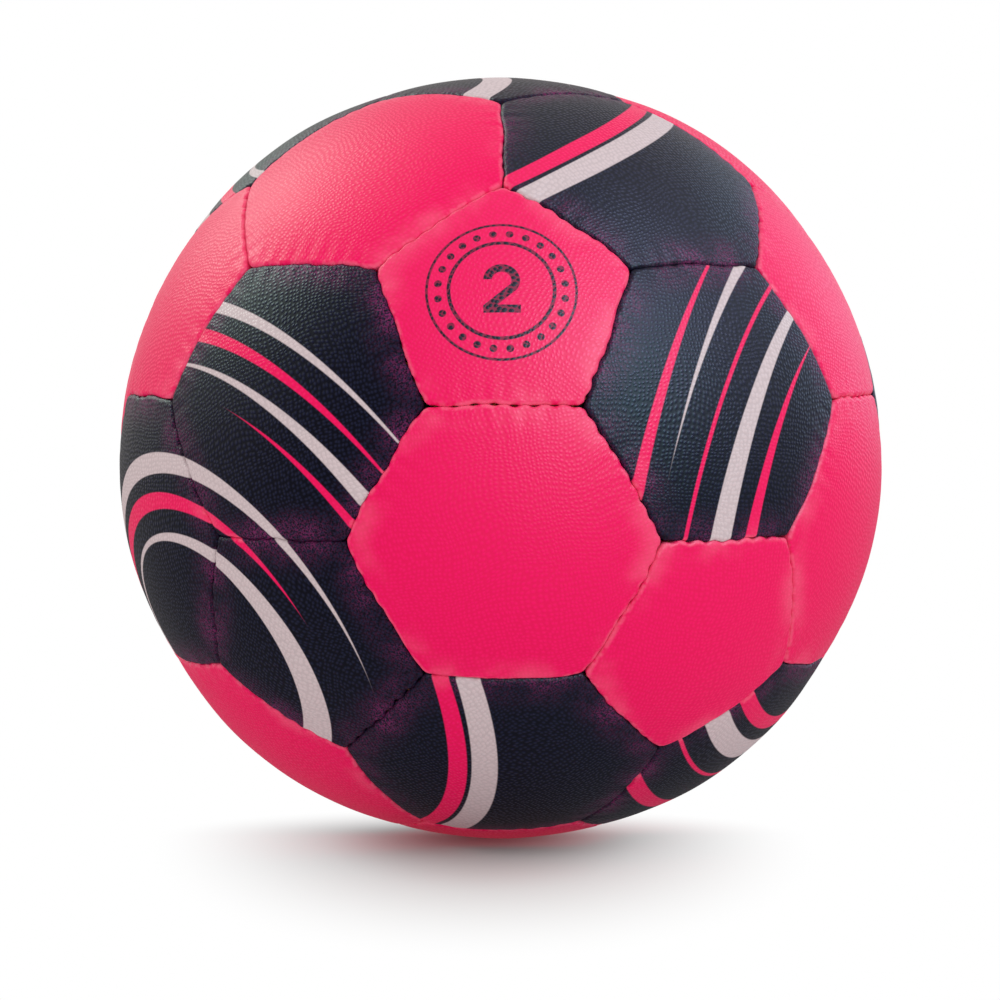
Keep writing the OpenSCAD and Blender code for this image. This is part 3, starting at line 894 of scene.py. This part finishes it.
# White sweep
# A sheet of matt white paper under the ball. The camera sees it glowing pure white, apart from the ball's soft
# shadow, which lies close round the point of contact and reaches further to the front. That shadow is partly
# cast by the lamps and partly painted: round the contact the glow gives way to a darker copy of the paper, in
# an oval squeezed sideways and drawn out to the front, and by the contact the glow is tinted pink as a painted
# reflection of the ball. For all other rays the paper glows at a quarter strength, a painted light on the
# ball's underside, and in the ball's reflections the paper is painted a darker grey.
# Painted light and shade: the shaded paper paints the shadow, the glow by the ball is a painted pink reflection
# of it, and the mirrored paper is a painted darker reflection
paper_shaded = "#b0aeae"
paper_lit = "#f4f2f0"
paper_mirrored = "#7b7876"
glow_by_ball = "#e7cece"
glow_white = "#ffffff"
floor_w = 40
shadow_off = 0.0054
shadow_squeeze = 1.22
shadow_to_front = 0.354
shadow_start = 0.001
shadow_end = 0.0937
darkest_glow = 0.05
glow_on_ball = 0.25
floor_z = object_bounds()[0][2]
deselect()
bpy.ops.mesh.primitive_plane_add(size=floor_w, location=(0, 0, floor_z))
floor = bpy.context.object
floor.name = "floor"
bpy.ops.object.transform_apply(location=True)
paper, tree = blank_material("white_paper_sweep")
seen = add(tree, "LightPath")
spot_x, spot_y = add(tree, "SeparateXYZ", [add(tree, "TexCoord")["Object"]])[:2]
sideways = add(tree, "Math", [spot_x, shadow_squeeze, shadow_off], operation="MULTIPLY_ADD")[0]
behind = add(tree, "Math", [spot_y, shadow_squeeze], operation="MULTIPLY")[0]
before = add(tree, "Math", [spot_y, -shadow_to_front], operation="MULTIPLY")[0]
forwards = add(tree, "Math", [behind, before], operation="MAXIMUM")[0]
away = add(tree, "Math", [forwards, 2], operation="POWER")[0]
away = add(tree, "Math", [sideways, sideways, away], operation="MULTIPLY_ADD")[0]
away = add(tree, "Math", [away], operation="SQRT")[0]
# Painted shadow: the camera's glow is held back in this oval round the contact
glowing = add(
    tree, "MapRange", [away, shadow_start, shadow_end, darkest_glow, 1], interpolation_type="SMOOTHSTEP"
)[0]
# For all other rays the paper glows a little: a painted light on the ball's underside
glowing = add(tree, "Mix", {"Factor": seen["Is Camera Ray"], "A": glow_on_ball, "B": glowing})[0]
# The camera sees a darker copy of the paper than the ball does: painted shade
tone = add(
    tree, "Mix", {"Factor": seen["Is Camera Ray"], "A": ink(paper_lit), "B": ink(paper_shaded)},
    data_type="RGBA",
)["Result"]
# In the ball's reflections the paper is a darker grey: a painted reflection
tone = add(
    tree, "Mix", {"Factor": seen["Is Glossy Ray"], "A": tone, "B": ink(paper_mirrored)}, data_type="RGBA"
)["Result"]
# Painted pink reflection of the ball on the paper, next to the contact
past_contact = add(tree, "MapRange", [away, 0.0115, 0.0467], interpolation_type="SMOOTHSTEP")[0]
glow_tone = add(
    tree, "Mix", {"Factor": past_contact, "A": ink(glow_by_ball), "B": ink(glow_white)}, data_type="RGBA"
)["Result"]
matt = add(tree, "BsdfDiffuse", {"Color": tone})[0]
glow = add(tree, "Emission", {"Color": glow_tone, "Strength": 1})[0]
add(tree, "OutputMaterial", [add(tree, "MixShader", [glowing, matt, glow])[0]])
floor.data.materials.append(paper)


# Lamps
# One large soft box on the right lights the ball. The others only put a sheen on it: one high on the left
# behind, two in front on the right, and one behind.
def soft_box(name, at, width, power, colour, sheen):
    """A square soft box that faces the ball, for the sheen on it alone or for all its other light."""
    light = bpy.data.lights.new(name, "AREA")
    light.size = width
    light.energy = power
    light.color = ink(colour)[:3]
    lamp = bpy.data.objects.new(name, light)
    lamp.location = at
    lamp.rotation_euler = (-Vector(at)).to_track_quat("-Z", "Y").to_euler()
    lamp.visible_diffuse = not sheen
    lamp.visible_glossy = sheen
    bpy.context.scene.collection.objects.link(lamp)
    return lamp


soft_box("soft_right", at=(0.8, -0.95, 0.95), width=1.3, power=6, colour="#daf1ff", sheen=False)
soft_box("shine_left", at=(-1.0, 0.8, 1.05), width=0.8, power=29, colour="#dfffef", sheen=True)
soft_box("shine_back", at=(1.1, 1.1, 0.5), width=0.9, power=8, colour="#aadaff", sheen=True)
front_boxes = (
    soft_box("shine_right", at=(0.92, -0.75, 1.05), width=0.9, power=57, colour="#d4daff", sheen=True),
    soft_box("shine_front", at=(0.6, -1.25, 0.6), width=0.6, power=34, colour="#b3f7ff", sheen=True),
)

# The two boxes in front are kept off the covers of the back and the left, where they would only glare
front = bpy.data.collections.new("front_covers")
for node, home in homes.items():
    at_front = home.y < -0.05
    at_left = home.x < -0.25
    if at_front and not at_left:
        front.objects.link(covers[node])
for lamp in front_boxes:
    lamp.light_linking.receiver_collection = front


# Black flag
# Duvetyn cloth, matt black, hung behind the camera and laid over the table in front. It is seen in the
# ball's reflections alone, and keeps its front deep in colour.
flag_w = 12
flag_y = -2.1
table_flag_w = 2
table_flag_y = -1.11
flag_black = "#050505"
deselect()
bpy.ops.mesh.primitive_plane_add(size=flag_w, location=(0, flag_y, 0), rotation=(math.pi / 2, 0, 0))
flag = bpy.context.object
flag.name = "flag"
bpy.ops.object.transform_apply(location=True, rotation=True)
bpy.ops.object.mode_set(mode="EDIT")
bpy.ops.mesh.primitive_plane_add(size=table_flag_w, location=(0, table_flag_y, floor_z + 1 * mm))
bpy.ops.object.mode_set(mode="OBJECT")
cloth, tree = blank_material("black_duvetyn_flag")
add(tree, "OutputMaterial", [add(tree, "BsdfDiffuse", {"Color": ink(flag_black)})[0]])
flag.data.materials.append(cloth)
flag.visible_camera = False
flag.visible_diffuse = False
flag.visible_shadow = False


# Room
# White walls all round, whose light is a little warm. The camera sees them as pure white.
room_light = "#fff4f0"
room_white = "#ffffff"
room_strength = 1.07
world = bpy.data.worlds.new("studio")
bpy.context.scene.world = world
world.use_nodes = True
tree = world.node_tree
tree.nodes.clear()
lighting = add(tree, "Background", {"Color": ink(room_light), "Strength": room_strength})[0]
walls = add(tree, "Background", {"Color": ink(room_white), "Strength": 1})[0]
seen = add(tree, "LightPath")
add(tree, "OutputWorld", [add(tree, "MixShader", [seen["Is Camera Ray"], lighting, walls])[0]])


# Camera
# A long lens a little above the ball's middle. The lens and its shift put the ball at its size and place in
# the photograph's frame.
camera_far = 20 * ball_r
camera_turn = math.radians(-0.55)
camera_rise = math.radians(2.46)
focal_px = 7660
photo_px = 1000
ball_px = (500.5, 458)
sight = bpy.data.cameras.new("camera")
sight.sensor_width = 36
sight.lens = focal_px / photo_px * sight.sensor_width
sight.shift_x = (photo_px / 2 - ball_px[0]) / photo_px
sight.shift_y = (ball_px[1] - photo_px / 2) / photo_px
camera = bpy.data.objects.new("camera", sight)
camera.location = (
    camera_far * math.cos(camera_rise) * math.sin(camera_turn),
    -camera_far * math.cos(camera_rise) * math.cos(camera_turn),
    camera_far * math.sin(camera_rise),
)
camera.rotation_euler = (-camera.location).to_track_quat("-Z", "Y").to_euler()
bpy.context.scene.collection.objects.link(camera)
bpy.context.scene.camera = camera
bpy.context.scene.view_settings.view_transform = "Standard"
